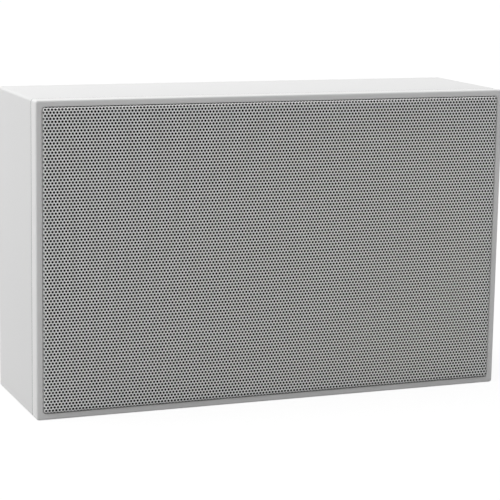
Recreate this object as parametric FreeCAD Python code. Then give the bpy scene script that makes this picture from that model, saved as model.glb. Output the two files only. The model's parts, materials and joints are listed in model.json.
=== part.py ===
"""White two-way shelf loudspeaker with a perforated steel front.

Millimetres. The origin is at the middle of the cabinet's footprint, on the surface it stands on.
+Z is up, the front faces -Y and X runs along the width.
"""

import FreeCAD, Part
import math
import os

from FreeCAD import Vector

# Cabinet: four lacquered walls folded round the baffle and the back panel
cabinet_width = 442.0
cabinet_height = 276.0
cabinet_depth = 130.0
wall = 12.0

# Front frame, parted from the walls by a fine shadow joint
frame_depth = 14.5
frame_lip = 5.5
frame_edge_radius = 1.5
ridge_extra_radius = 1.0
frame_joint = 0.5
spigot_depth = 4.0
spigot_clearance = 0.3
spigot_wall = 3.0
ledge_thickness = 5.0

# Grille: a steel tray with its edges folded back, seated on the frame's ledge and a little proud of it.
# The perforation is a coarse stand-in for the fine one, in the same stagger and with the same open share.
grille_gap = 0.5
grille_proud = 1.5
grille_sheet = 0.8
grille_bend = 2.5
perforation_pitch = 40.0
perforation_margin = 5.0
perforation_sides = 6
open_share = 0.40

# Black cloth glued to the back of the sheet
cloth_thickness = 0.8
cloth_clearance = 0.6

# Facets round a turned piece inside the cabinet, and round a screw
round_sides = 24
screw_sides = 6

# Boards
baffle_thickness = 12.0
baffle_glue_gap = 0.2
back_thickness = 10.0
back_inset = 5.0
back_rebate = 7.0
back_clearance = 0.3

# Woofer: pressed basket, moving parts and motor
woofer_flange_radius = 102.0
woofer_flange = 4.0
woofer_flange_width = 12.0
woofer_travel = 4.0
basket_sheet = 2.0
basket_depth = 40.0
basket_seat_radius = 50.0
basket_seat_bore = 24.0
basket_legs = 6
basket_leg_width = 20.0
basket_window_reach = 25.0
basket_window_rim = 5.0
cutout_clearance = 1.0
cone_paper = 1.3
surround_lip = 3.5
surround_roll = 11.0
surround_height = 5.0
surround_rubber = 1.0
surround_crest_rubber = 1.4
dust_cap_radius = 24.0
dust_cap_height = 9.0
dust_cap_crown_inset = 11.0
dust_cap_crown_drop = 2.0
dust_cap_paper = 0.9
dust_cap_rim = 1.4
spider_margin = 4.0
spider_rise = 6.0
spider_gap = 5.0
spider_cloth = 0.8
coil_radius = 13.0
coil_wall = 0.7
coil_neck = 3.0
coil_clearance = 0.4
glue_line = 0.05
top_plate_radius = 42.0
top_plate_thickness = 6.0
magnet_radius = 45.0
magnet_bore = 22.0
magnet_thickness = 16.0
yoke_radius = 42.0
yoke_thickness = 6.0

# Tweeter: faceplate with a short flare, clamped cloth diaphragm and closed motor
tweeter_plate_radius = 50.0
tweeter_plate = 4.0
tweeter_flare_radius = 24.0
tweeter_throat_radius = 16.0
tweeter_flange_width = 14.0
tweeter_motor_depth = 30.0
tweeter_motor_chamfer = 4.0
diaphragm_height = 5.5
diaphragm_shoulder_inset = 6.4
diaphragm_shoulder_drop = 1.5
diaphragm_cloth = 0.6
diaphragm_rim = 1.2

# Screws, drawn with six sides, as the holes that they pass through are
driver_screw_radius = 2.0
driver_screw_head = 3.4
driver_screw_head_height = 2.4
driver_screw_length = 14.0
driver_screws = 4
driver_screw_degrees = 45.0
back_screw_radius = 1.6
back_screw_head = 3.0
back_screw_head_height = 2.0
back_screw_length = 26.0
back_screw_corner = 27.0
cup_screw_radius = 1.3
cup_screw_head = 2.6
cup_screw_head_height = 1.6
cup_screw_length = 10.0
screw_clearance = 0.1

# Six-sided threaded inserts for a wall bracket
insert_spacing_x = 127.0
insert_spacing_z = 70.0
insert_radius = 4.5
insert_thread_radius = 2.5

# Terminal cup with two sockets for 4 mm plugs
cup_side_margin = 35.0
cup_floor_margin = 20.0
cup_width = 68.0
cup_height = 48.0
cup_depth = 24.0
cup_wall = 2.5
cup_flange = 8.0
cup_flange_thickness = 2.4
cup_corner = 4.0
cup_clearance = 0.4
socket_spacing = 19.0
socket_bore_radius = 2.0
socket_bore_depth = 18.0
socket_collar_radius = 5.5
socket_collar_sides = 12
socket_collar_height = 14.0
socket_shank_radius = 4.0
socket_tail = 9.0
nut_across_flats = 11.0
nut_height = 3.0

# Crossover board on the tails of the sockets
board_width = 84.0
board_thickness = 1.6
inductor_radius = 19.0
inductor_bore = 8.0
inductor_length = 18.0
capacitor_radius = 9.0
capacitor_length = 36.0
resistor_length = 44.0
resistor_width = 10.0
component_gap = 0.1
component_spacing = 6.0

# Flat twin leads
lead_width = 4.4
lead_thickness = 2.0
lead_bend = 8.0
lead_inset = 6.0
lead_rise = 30.0
lead_room = 10.0

# Wadding on the back panel
wadding_magnet_room = 3.0
wadding_border = 10.0
wadding_gap = 0.3

# Levels along the depth, from the front to the back
front_y = -cabinet_depth / 2
back_y = cabinet_depth / 2
frame_front_y = front_y + grille_proud
frame_back_y = frame_front_y + frame_depth
wrap_front_y = frame_back_y + frame_joint
baffle_y = frame_back_y + spigot_depth
seat_y = frame_back_y - ledge_thickness
cloth_y = front_y + grille_sheet
panel_back_y = back_y - back_inset
panel_front_y = panel_back_y - back_thickness

# Rounding of the cabinet's long edges, more than on the frame's front edges, and of the frame's opening
ridge_radius = frame_edge_radius + ridge_extra_radius
opening_corner = grille_bend + grille_gap

# Widths and heights inside the walls
inner_width = cabinet_width - 2 * wall
inner_height = cabinet_height - 2 * wall
middle_z = cabinet_height / 2

# Places of the two drivers, with equal gaps beside and between them
driver_gap = (inner_width - 2 * woofer_flange_radius - 2 * tweeter_plate_radius) / 3
woofer_x = -inner_width / 2 + driver_gap + woofer_flange_radius
tweeter_x = inner_width / 2 - driver_gap - tweeter_plate_radius

# Radii and levels of the woofer
woofer_mouth_radius = woofer_flange_radius - woofer_flange_width
cone_radius = woofer_mouth_radius - surround_roll
spider_radius = basket_seat_radius - spider_margin
flange_y = baffle_y - woofer_flange
basket_back_y = flange_y + basket_depth
basket_seat_y = basket_back_y - basket_sheet
plate_back_y = basket_back_y + top_plate_thickness
magnet_back_y = plate_back_y + magnet_thickness
yoke_back_y = magnet_back_y + yoke_thickness
cone_rim_y = flange_y + glue_line
spider_y = basket_seat_y - spider_rise
neck_y = spider_y - spider_cloth - spider_gap - cone_paper
coil_outer_radius = coil_radius + coil_wall
neck_radius = coil_outer_radius + glue_line
surround_radius = woofer_mouth_radius + surround_lip
woofer_bolt_radius = (woofer_flange_radius + surround_radius) / 2

# Radius and levels of the tweeter
tweeter_motor_radius = tweeter_plate_radius - tweeter_flange_width
tweeter_front_y = baffle_y - tweeter_plate
tweeter_back_y = baffle_y + tweeter_motor_depth
tweeter_bolt_radius = (tweeter_plate_radius + tweeter_motor_radius) / 2

# Place and levels of the terminals and the crossover
cup_x = inner_width / 2 - cup_side_margin - cup_flange - cup_width / 2
cup_z = wall + cup_floor_margin + cup_flange + cup_height / 2
cup_mouth_y = panel_back_y + cup_flange_thickness
cup_bottom_y = cup_mouth_y - cup_depth
cup_floor_y = cup_bottom_y + cup_wall
socket_tip_y = cup_floor_y + socket_collar_height
board_back_y = cup_bottom_y - nut_height
board_y = board_back_y - board_thickness
tail_y = cup_bottom_y - socket_tail
capacitor_z = cup_z - socket_shank_radius - component_spacing - capacitor_radius
resistor_z = cup_z + socket_shank_radius + component_spacing + resistor_width / 2
tweeter_lead_z = resistor_z + (resistor_width + lead_thickness) / 2 + component_spacing
inductor_z = tweeter_lead_z + lead_thickness / 2 + component_spacing + inductor_radius
woofer_lead_x = min(cup_x - board_width / 2, tweeter_x - tweeter_motor_radius) - lead_room
board_low_z = capacitor_z - capacitor_radius - component_spacing
board_high_z = max(inductor_z + inductor_radius, middle_z + lead_width) + component_spacing


def slab(width, height, y0, y1, corner=0.0, middle_x=0.0, centre_z=None):
    """A rectangular bar along Y, with its long edges rounded where a corner radius is given."""
    centre_z = middle_z if centre_z is None else centre_z
    corner_point = Vector(middle_x - width / 2, y0, centre_z - height / 2)
    bar = Part.makeBox(width, y1 - y0, height, corner_point)
    if corner > 0:
        long_edges = [e for e in bar.Edges if abs(e.tangentAt(e.FirstParameter).y) > 0.9]
        bar = bar.makeFillet(corner, long_edges)
    return bar


def turned(profile, x, z, sides=round_sides):
    """A solid turned about an axis along Y, from corners given as (radius, y), with flat facets."""
    rings = []
    for radius, y in profile:
        rings.append([Vector(cx, y, cz) for cx, cz in around(x, z, radius, sides, 0.0)])
    facets = []
    for ring, following in zip(rings, rings[1:] + rings[:1]):
        for index in range(sides):
            corners = [ring[index - 1], ring[index], following[index], following[index - 1]]
            corners = [c for i, c in enumerate(corners) if c.distanceToPoint(corners[i - 1]) > 1e-6]
            if len(corners) > 2:
                facets.append(Part.Face(Part.makePolygon(corners + corners[:1])))
    shell = Part.makeShell(facets)
    shell.sewShape()
    solid = Part.makeSolid(shell)
    if solid.Volume < 0:
        solid.reverse()
    return solid.removeSplitter()


def prism(x, z, y0, y1, radius, sides):
    """A bar along Y with flat sides, whose corners lie at the radius."""
    return turned([(0, y0), (radius, y0), (radius, y1), (0, y1)], x, z, sides)


def ring(x, z, y0, y1, outer_radius, inner_radius):
    """A faceted ring about an axis along Y."""
    profile = [(outer_radius, y0), (outer_radius, y1), (inner_radius, y1), (inner_radius, y0)]
    return turned(profile, x, z)


def bore(x, z, y0, y1, radius):
    """A truly round bar along Y, for a bore that takes a plug or a bolt."""
    return Part.makeCylinder(radius, y1 - y0, Vector(x, y0, z), Vector(0, 1, 0))


def around(x, z, radius, count, start_degrees):
    """Places on a circle about an axis along Y, as (x, z) pairs."""
    places = []
    for index in range(count):
        angle = math.radians(start_degrees + index * 360.0 / count)
        places.append((x + radius * math.cos(angle), z + radius * math.sin(angle)))
    return places


def edges_at(shape, y):
    """The edges of a shape that lie wholly at one depth."""
    box_edges = [(e, e.BoundBox) for e in shape.Edges]
    return [e for e, box in box_edges if abs(box.YMin - y) < 1e-4 and abs(box.YMax - y) < 1e-4]


def screw(x, z, seat, head_side, radius, head, head_height, length):
    """A screw whose head rests at depth seat, on the side head_side (-1 front, +1 back)."""
    profile = [
        (0, seat + head_side * head_height),
        (head, seat + head_side * head_height),
        (head, seat),
        (radius, seat),
        (radius, seat - head_side * length),
        (0, seat - head_side * length),
    ]
    return turned(profile, x, z, screw_sides)


def without(shape, cutters):
    """A shape with a list of others cut from it."""
    return shape.cut(Part.makeCompound(cutters))


def one_solid(shape):
    """The single solid that a cut or a join left inside its compound."""
    return shape.removeSplitter().Solids[0]


def back_screw_places():
    """Centres of the back panel's screws, on the step of the rebate."""
    side = inner_width / 2 + back_rebate / 2
    rise = inner_height / 2 + back_rebate / 2
    reach = side - back_screw_corner
    rows = [(x, middle_z + s * rise) for s in (-1, 1) for x in (-reach, 0.0, reach)]
    return rows + [(-side, middle_z), (side, middle_z)]


def woofer_screw_places():
    return around(woofer_x, middle_z, woofer_bolt_radius, driver_screws, driver_screw_degrees)


def tweeter_screw_places():
    return around(tweeter_x, middle_z, tweeter_bolt_radius, driver_screws, driver_screw_degrees)


def cup_screw_places():
    half_x = (cup_width + cup_flange) / 2
    half_z = (cup_height + cup_flange) / 2
    return [(cup_x + sx * half_x, cup_z + sz * half_z) for sx in (-1, 1) for sz in (-1, 1)]


def insert_places():
    half_x = insert_spacing_x / 2
    half_z = insert_spacing_z / 2
    return [(sx * half_x, middle_z + sz * half_z) for sx in (-1, 1) for sz in (-1, 1)]


def socket_places():
    return {"negative": cup_x - socket_spacing / 2, "positive": cup_x + socket_spacing / 2}


def make_cabinet_wrap():
    shell = slab(cabinet_width, cabinet_height, wrap_front_y, back_y, ridge_radius)
    hollow = slab(inner_width, inner_height, wrap_front_y - wall, back_y + wall)
    rebate_width = inner_width + 2 * back_rebate
    rebate_height = inner_height + 2 * back_rebate
    rebate = slab(rebate_width, rebate_height, panel_front_y, back_y + wall)
    pilot_y = panel_back_y - back_screw_length - screw_clearance
    pilot = back_screw_radius + screw_clearance
    pilots = [prism(x, z, pilot_y, back_y, pilot, screw_sides) for x, z in back_screw_places()]
    return one_solid(without(shell, [hollow, rebate] + pilots))


def make_front_frame():
    border = slab(cabinet_width, cabinet_height, frame_front_y, frame_back_y, ridge_radius)
    border = border.makeFillet(frame_edge_radius, edges_at(border, frame_front_y))
    spigot_width = inner_width - 2 * spigot_clearance
    spigot_height = inner_height - 2 * spigot_clearance
    spigot = slab(spigot_width, spigot_height, seat_y, baffle_y)
    opening_width = cabinet_width - 2 * frame_lip
    opening_height = cabinet_height - 2 * frame_lip
    opening = slab(opening_width, opening_height, front_y - wall, seat_y, opening_corner)
    mouth_width = spigot_width - 2 * spigot_wall
    mouth_height = spigot_height - 2 * spigot_wall
    mouth = slab(mouth_width, mouth_height, seat_y - wall, baffle_y + wall)
    return one_solid(without(border.fuse(spigot), [opening, mouth]))


def perforation_places(width, height):
    """Centres of a staggered hole pattern that fits a field, as (x, z) pairs."""
    row_pitch = perforation_pitch * math.sqrt(3) / 2
    rows = int(height / row_pitch) + 1
    low_z = middle_z - (rows - 1) * row_pitch / 2
    places = []
    for row in range(rows):
        columns = int(width / perforation_pitch) + 1
        if row % 2 == 1:
            columns -= 1
        for column in range(columns):
            places.append(((column - (columns - 1) / 2) * perforation_pitch, low_z + row * row_pitch))
    return places


def make_grille():
    width = cabinet_width - 2 * (frame_lip + grille_gap)
    height = cabinet_height - 2 * (frame_lip + grille_gap)
    tray = slab(width, height, front_y, seat_y, grille_bend)
    tray = tray.makeFillet(grille_bend, edges_at(tray, front_y))
    inside_width = width - 2 * grille_sheet
    inside_height = height - 2 * grille_sheet
    inside = slab(inside_width, inside_height, cloth_y, seat_y + wall, grille_bend - grille_sheet)
    hole_radius = perforation_pitch * math.sqrt(open_share / 3)
    border = 2 * (grille_bend + perforation_margin + hole_radius)
    holes = []
    for x, z in perforation_places(width - border, height - border):
        places = around(x, z, hole_radius, perforation_sides, 90.0)
        corners = [Vector(corner_x, front_y - wall, corner_z) for corner_x, corner_z in places]
        hexagon = Part.Face(Part.makePolygon(corners + corners[:1]))
        holes.append(hexagon.extrude(Vector(0, 2 * wall, 0)))
    return one_solid(without(tray.cut(inside), holes))


def make_acoustic_cloth():
    inset = frame_lip + grille_gap + grille_sheet + cloth_clearance
    width = cabinet_width - 2 * inset
    height = cabinet_height - 2 * inset
    return slab(width, height, cloth_y, cloth_y + cloth_thickness)


def make_baffle_board():
    board_back = baffle_y + baffle_thickness
    width = inner_width - 2 * baffle_glue_gap
    height = inner_height - 2 * baffle_glue_gap
    board = slab(width, height, baffle_y, board_back)
    woofer_hole = woofer_mouth_radius + basket_sheet + cutout_clearance
    tweeter_hole = tweeter_motor_radius + cutout_clearance
    holes = [
        prism(woofer_x, middle_z, baffle_y - wall, board_back + wall, woofer_hole, round_sides),
        prism(tweeter_x, middle_z, baffle_y - wall, board_back + wall, tweeter_hole, round_sides),
    ]
    pilot = driver_screw_radius + screw_clearance
    for x, z in woofer_screw_places() + tweeter_screw_places():
        holes.append(prism(x, z, baffle_y - wall, board_back + wall, pilot, screw_sides))
    return one_solid(without(board, holes))


def make_back_panel():
    width = inner_width + 2 * (back_rebate - back_clearance)
    height = inner_height + 2 * (back_rebate - back_clearance)
    panel = slab(width, height, panel_front_y, panel_back_y)
    through = (panel_front_y - wall, panel_back_y + wall)
    cutout_width = cup_width + 2 * cup_clearance
    cutout_height = cup_height + 2 * cup_clearance
    holes = [slab(cutout_width, cutout_height, *through, 0.0, cup_x, cup_z)]
    fixings = [
        (back_screw_places(), back_screw_radius + screw_clearance),
        (insert_places(), insert_radius + glue_line),
        (cup_screw_places(), cup_screw_radius + screw_clearance),
    ]
    for places, radius in fixings:
        holes += [prism(x, z, *through, radius, screw_sides) for x, z in places]
    return one_solid(without(panel, holes))


def make_back_screws():
    sizes = (back_screw_radius, back_screw_head, back_screw_head_height, back_screw_length)
    screws = [screw(x, z, panel_back_y, 1, *sizes) for x, z in back_screw_places()]
    return Part.makeCompound(screws)


def make_mounting_inserts():
    inserts = []
    for x, z in insert_places():
        body = prism(x, z, panel_front_y, panel_back_y, insert_radius, screw_sides)
        thread = bore(x, z, panel_front_y - wall, panel_back_y + wall, insert_thread_radius)
        inserts.append(body.cut(thread).Solids[0])
    return Part.makeCompound(inserts)


def make_woofer_basket():
    profile = [
        (woofer_flange_radius, flange_y),
        (woofer_flange_radius, baffle_y),
        (woofer_mouth_radius + basket_sheet, baffle_y),
        (basket_seat_radius + basket_sheet, basket_back_y),
        (basket_seat_bore, basket_back_y),
        (basket_seat_bore, basket_seat_y),
        (basket_seat_radius, basket_seat_y),
        (woofer_mouth_radius, flange_y),
    ]
    basket = turned(profile, woofer_x, middle_z)
    window_front = baffle_y + basket_window_rim
    window_back = basket_seat_y - basket_window_rim
    sector = math.pi / basket_legs
    near = basket_window_reach
    far = woofer_flange_radius
    near_half = near * math.tan(sector) - basket_leg_width / 2
    far_half = far * math.tan(sector) - basket_leg_width / 2
    outline = [(near, -near_half), (far, -far_half), (far, far_half), (near, near_half)]
    corners = [Vector(woofer_x + x, window_front, middle_z + z) for x, z in outline]
    window = Part.Face(Part.makePolygon(corners + corners[:1]))
    window = window.extrude(Vector(0, window_back - window_front, 0))
    cutters = []
    for index in range(basket_legs):
        cutter = window.copy()
        turn = (index + 0.5) * 360.0 / basket_legs
        cutter.rotate(Vector(woofer_x, 0, middle_z), Vector(0, 1, 0), turn)
        cutters.append(cutter)
    hole = driver_screw_radius + screw_clearance
    for x, z in woofer_screw_places():
        cutters.append(prism(x, z, flange_y - wall, baffle_y + wall, hole, screw_sides))
    return one_solid(without(basket, cutters))


def make_woofer_surround():
    crest_radius = (surround_radius + cone_radius) / 2
    profile = [
        (surround_radius, flange_y),
        (surround_radius, flange_y - surround_rubber),
        (crest_radius, flange_y - surround_height),
        (cone_radius, flange_y - surround_rubber),
        (cone_radius, flange_y),
        (crest_radius, flange_y - surround_height + surround_crest_rubber),
    ]
    return turned(profile, woofer_x, middle_z)


def make_woofer_cone():
    profile = [
        (cone_radius, cone_rim_y),
        (cone_radius, cone_rim_y + cone_paper),
        (neck_radius, neck_y + cone_paper),
        (neck_radius, neck_y),
    ]
    return turned(profile, woofer_x, middle_z)


def make_woofer_dust_cap():
    slope = (neck_y - cone_rim_y) / (cone_radius - neck_radius)
    seat = neck_y - slope * (dust_cap_radius - neck_radius) - glue_line
    crown_radius = dust_cap_radius - dust_cap_crown_inset
    crown_y = seat - dust_cap_height + dust_cap_crown_drop
    profile = [
        (dust_cap_radius, seat),
        (crown_radius, crown_y),
        (0, seat - dust_cap_height),
        (0, seat - dust_cap_height + dust_cap_paper),
        (crown_radius - dust_cap_paper, crown_y + dust_cap_paper),
        (dust_cap_radius - dust_cap_rim, seat),
    ]
    return turned(profile, woofer_x, middle_z)


def make_woofer_spider():
    profile = [
        (spider_radius, basket_seat_y),
        (spider_radius, basket_seat_y - spider_cloth),
        (neck_radius, spider_y - spider_cloth),
        (neck_radius, spider_y),
    ]
    return turned(profile, woofer_x, middle_z)


def make_woofer_voice_coil():
    tube_front = neck_y - coil_neck
    tube_back = plate_back_y + woofer_travel
    return ring(woofer_x, middle_z, tube_front, tube_back, coil_outer_radius, coil_radius)


def make_woofer_top_plate():
    gap_radius = coil_outer_radius + coil_clearance
    return ring(woofer_x, middle_z, basket_back_y, plate_back_y, top_plate_radius, gap_radius)


def make_woofer_magnet():
    return ring(woofer_x, middle_z, plate_back_y, magnet_back_y, magnet_radius, magnet_bore)


def make_woofer_yoke():
    pole_radius = coil_radius - coil_clearance
    profile = [
        (0, basket_back_y),
        (pole_radius, basket_back_y),
        (pole_radius, magnet_back_y),
        (yoke_radius, magnet_back_y),
        (yoke_radius, yoke_back_y),
        (0, yoke_back_y),
    ]
    return turned(profile, woofer_x, middle_z)


def driver_screw_group(places, seat):
    sizes = (driver_screw_radius, driver_screw_head, driver_screw_head_height, driver_screw_length)
    return Part.makeCompound([screw(x, z, seat, -1, *sizes) for x, z in places])


def make_tweeter_faceplate():
    profile = [
        (tweeter_plate_radius, tweeter_front_y),
        (tweeter_plate_radius, baffle_y),
        (tweeter_throat_radius, baffle_y),
        (tweeter_flare_radius, tweeter_front_y),
    ]
    plate = turned(profile, tweeter_x, middle_z)
    hole = driver_screw_radius + screw_clearance
    holes = []
    for x, z in tweeter_screw_places():
        holes.append(prism(x, z, tweeter_front_y - wall, baffle_y + wall, hole, screw_sides))
    return one_solid(without(plate, holes))


def make_tweeter_diaphragm():
    rim = tweeter_throat_radius - glue_line
    shoulder = rim - diaphragm_shoulder_inset
    shoulder_y = baffle_y - diaphragm_height + diaphragm_shoulder_drop
    profile = [
        (rim, baffle_y),
        (shoulder, shoulder_y),
        (0, baffle_y - diaphragm_height),
        (0, baffle_y - diaphragm_height + diaphragm_cloth),
        (shoulder - diaphragm_cloth, shoulder_y + diaphragm_cloth),
        (rim - diaphragm_rim, baffle_y),
    ]
    return turned(profile, tweeter_x, middle_z)


def make_tweeter_motor():
    profile = [
        (0, baffle_y),
        (tweeter_motor_radius, baffle_y),
        (tweeter_motor_radius, tweeter_back_y - tweeter_motor_chamfer),
        (tweeter_motor_radius - tweeter_motor_chamfer, tweeter_back_y),
        (0, tweeter_back_y),
    ]
    return turned(profile, tweeter_x, middle_z)


def make_terminal_cup():
    flange_width = cup_width + 2 * cup_flange
    flange_height = cup_height + 2 * cup_flange
    flange = slab(flange_width, flange_height, panel_back_y, cup_mouth_y, cup_corner, cup_x, cup_z)
    dish = slab(cup_width, cup_height, cup_bottom_y, cup_mouth_y, 0.0, cup_x, cup_z)
    recess_width = cup_width - 2 * cup_wall
    recess_height = cup_height - 2 * cup_wall
    recess = slab(recess_width, recess_height, cup_floor_y, cup_mouth_y + wall, cup_corner, cup_x, cup_z)
    holes = [recess]
    for x in socket_places().values():
        holes.append(shank_hole(x, cup_bottom_y - wall, cup_mouth_y))
    for x, z in cup_screw_places():
        hole = cup_screw_radius + screw_clearance
        holes.append(prism(x, z, panel_back_y - wall, cup_mouth_y + wall, hole, screw_sides))
    return one_solid(without(flange.fuse(dish), holes))


def make_terminal_screws():
    sizes = (cup_screw_radius, cup_screw_head, cup_screw_head_height, cup_screw_length)
    return Part.makeCompound([screw(x, z, cup_mouth_y, 1, *sizes) for x, z in cup_screw_places()])


def shank_hole(x, y0, y1):
    """The hole that a socket's shank passes through."""
    return prism(x, cup_z, y0, y1, socket_shank_radius + glue_line, screw_sides)


def make_socket(x):
    collar = prism(x, cup_z, cup_floor_y, socket_tip_y, socket_collar_radius, socket_collar_sides)
    shank = prism(x, cup_z, tail_y, cup_floor_y, socket_shank_radius, screw_sides)
    plug_bore = bore(x, cup_z, socket_tip_y - socket_bore_depth, socket_tip_y + wall, socket_bore_radius)
    return one_solid(collar.fuse(shank).cut(plug_bore))


def make_socket_nuts():
    corner_radius = nut_across_flats / math.sqrt(3)
    nuts = []
    for x in socket_places().values():
        nut = prism(x, cup_z, board_back_y, cup_bottom_y, corner_radius, screw_sides)
        nuts.append(nut.cut(shank_hole(x, board_back_y - wall, cup_bottom_y + wall)).Solids[0])
    return Part.makeCompound(nuts)


def make_crossover_board():
    centre_z = (board_low_z + board_high_z) / 2
    height = board_high_z - board_low_z
    board = slab(board_width, height, board_y, board_back_y, 0.0, cup_x, centre_z)
    tails = [shank_hole(x, board_y - wall, board_back_y + wall) for x in socket_places().values()]
    return one_solid(without(board, tails))


def make_crossover_coil():
    x = cup_x + board_width / 2 - component_spacing - inductor_radius
    return ring(x, inductor_z, board_y - inductor_length, board_y, inductor_radius, inductor_bore)


def make_crossover_capacitor():
    y = board_y - component_gap - capacitor_radius
    can = prism(0, 0, -capacitor_length / 2, capacitor_length / 2, capacitor_radius, round_sides)
    can.rotate(Vector(0, 0, 0), Vector(0, 0, 1), 90)
    can.translate(Vector(cup_x, y, capacitor_z))
    return can


def make_crossover_resistor():
    depth = (board_y - resistor_width, board_y)
    return slab(resistor_length, resistor_width, *depth, 0.0, cup_x, resistor_z)


def flat_lead(points, across):
    """A flat twin lead along points in one plane, with tangent arcs at its turns; across is its width."""
    edges = []
    last = points[0]
    for before, corner, after in zip(points, points[1:], points[2:]):
        arrive = (corner - before).normalize()
        leave = (after - corner).normalize()
        half_turn = arrive.getAngle(leave) / 2
        setback = lead_bend * math.tan(half_turn)
        start = corner - arrive * setback
        end = corner + leave * setback
        inward = (leave - arrive).normalize()
        middle = corner + inward * (lead_bend / math.cos(half_turn) - lead_bend)
        edges.append(Part.LineSegment(last, start).toShape())
        edges.append(Part.Arc(start, middle, end).toShape())
        last = end
    edges.append(Part.LineSegment(last, points[-1]).toShape())
    path = Part.Wire(edges)
    forward = (points[1] - points[0]).normalize()
    side = across.normalize() * (lead_width / 2)
    thick = forward.cross(across).normalize() * (lead_thickness / 2)
    start = points[0]
    corners = [start + side + thick, start - side + thick, start - side - thick, start + side - thick]
    section = Part.makePolygon(corners + corners[:1])
    return path.makePipeShell([section], True, False).Solids[0]


def make_woofer_lead():
    """Off the side of the crossover board, forward past the tweeter and on to the woofer's basket."""
    start_x = cup_x - board_width / 2 + lead_inset
    start_y = board_y - lead_thickness / 2
    y = (flange_y + basket_back_y) / 2
    leg_share = (y - baffle_y) / (basket_back_y - baffle_y)
    leg_radius = woofer_mouth_radius + (basket_seat_radius - woofer_mouth_radius) * leg_share
    end_x = woofer_x + leg_radius + basket_sheet + lead_thickness
    route = [(start_x, start_y), (woofer_lead_x, start_y), (woofer_lead_x, y), (end_x, y)]
    return flat_lead([Vector(lead_x, lead_y, middle_z) for lead_x, lead_y in route], Vector(0, 0, 1))


def make_tweeter_lead():
    """From the crossover board forward, up behind the tweeter and on to the back of its motor."""
    middle_y = (board_y + tweeter_back_y) / 2
    end_z = tweeter_lead_z + lead_rise
    route = [
        (board_y, tweeter_lead_z),
        (middle_y, tweeter_lead_z),
        (middle_y, end_z),
        (tweeter_back_y, end_z),
    ]
    return flat_lead([Vector(tweeter_x, y, z) for y, z in route], Vector(1, 0, 0))


def make_damping_wadding():
    left = -inner_width / 2 + wadding_border
    right = woofer_lead_x - lead_room
    back = panel_front_y - wadding_gap
    front = yoke_back_y + wadding_magnet_room
    height = inner_height - 2 * wadding_border
    return slab(right - left, height, front, back, 0.0, (left + right) / 2)


def make_parts():
    sockets = socket_places()
    return {
        "cabinet_wrap": make_cabinet_wrap(),
        "front_frame": make_front_frame(),
        "grille": make_grille(),
        "acoustic_cloth": make_acoustic_cloth(),
        "baffle_board": make_baffle_board(),
        "back_panel": make_back_panel(),
        "back_screws": make_back_screws(),
        "mounting_inserts": make_mounting_inserts(),
        "woofer_basket": make_woofer_basket(),
        "woofer_surround": make_woofer_surround(),
        "woofer_cone": make_woofer_cone(),
        "woofer_dust_cap": make_woofer_dust_cap(),
        "woofer_spider": make_woofer_spider(),
        "woofer_voice_coil": make_woofer_voice_coil(),
        "woofer_top_plate": make_woofer_top_plate(),
        "woofer_magnet": make_woofer_magnet(),
        "woofer_yoke": make_woofer_yoke(),
        "woofer_screws": driver_screw_group(woofer_screw_places(), flange_y),
        "tweeter_faceplate": make_tweeter_faceplate(),
        "tweeter_diaphragm": make_tweeter_diaphragm(),
        "tweeter_motor": make_tweeter_motor(),
        "tweeter_screws": driver_screw_group(tweeter_screw_places(), tweeter_front_y),
        "terminal_cup": make_terminal_cup(),
        "terminal_screws": make_terminal_screws(),
        "socket_positive": make_socket(sockets["positive"]),
        "socket_negative": make_socket(sockets["negative"]),
        "socket_nuts": make_socket_nuts(),
        "crossover_board": make_crossover_board(),
        "crossover_coil": make_crossover_coil(),
        "crossover_capacitor": make_crossover_capacitor(),
        "crossover_resistor": make_crossover_resistor(),
        "woofer_lead": make_woofer_lead(),
        "tweeter_lead": make_tweeter_lead(),
        "damping_wadding": make_damping_wadding(),
    }


os.makedirs("parts", exist_ok=True)
for node, shape in make_parts().items():
    shape.exportStep("parts/" + node + ".step")
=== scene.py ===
"""Looks of the white shelf loudspeaker with a perforated front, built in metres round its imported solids."""

import json
import math

import bmesh
import bpy
import numpy as np
from mathutils import Matrix, Vector


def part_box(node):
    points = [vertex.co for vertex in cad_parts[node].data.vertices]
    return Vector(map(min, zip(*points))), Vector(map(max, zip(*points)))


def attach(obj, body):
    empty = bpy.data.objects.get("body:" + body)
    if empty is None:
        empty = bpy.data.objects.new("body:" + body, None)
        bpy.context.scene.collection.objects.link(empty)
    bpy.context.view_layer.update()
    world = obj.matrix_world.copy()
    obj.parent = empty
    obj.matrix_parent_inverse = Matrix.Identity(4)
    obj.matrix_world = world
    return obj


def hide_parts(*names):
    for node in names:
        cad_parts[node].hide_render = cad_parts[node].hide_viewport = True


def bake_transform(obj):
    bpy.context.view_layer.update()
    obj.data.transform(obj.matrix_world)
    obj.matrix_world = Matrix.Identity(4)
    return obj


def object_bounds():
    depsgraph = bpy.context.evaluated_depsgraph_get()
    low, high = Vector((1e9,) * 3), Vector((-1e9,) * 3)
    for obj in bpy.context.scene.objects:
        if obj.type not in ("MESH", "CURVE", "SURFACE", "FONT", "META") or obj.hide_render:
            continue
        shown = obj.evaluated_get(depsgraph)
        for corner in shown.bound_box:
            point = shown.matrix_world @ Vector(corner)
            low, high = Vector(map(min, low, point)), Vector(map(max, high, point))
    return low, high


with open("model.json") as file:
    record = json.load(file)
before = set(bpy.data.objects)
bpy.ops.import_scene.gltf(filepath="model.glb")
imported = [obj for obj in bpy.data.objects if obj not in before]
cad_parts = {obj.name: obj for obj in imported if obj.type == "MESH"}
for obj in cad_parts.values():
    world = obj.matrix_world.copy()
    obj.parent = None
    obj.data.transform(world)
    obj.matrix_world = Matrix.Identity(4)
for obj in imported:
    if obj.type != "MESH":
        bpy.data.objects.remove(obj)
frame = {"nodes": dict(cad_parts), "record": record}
cad_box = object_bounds()
mm = 0.001
tiny = 1e-9
weld_distance = 0.001 * mm

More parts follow.
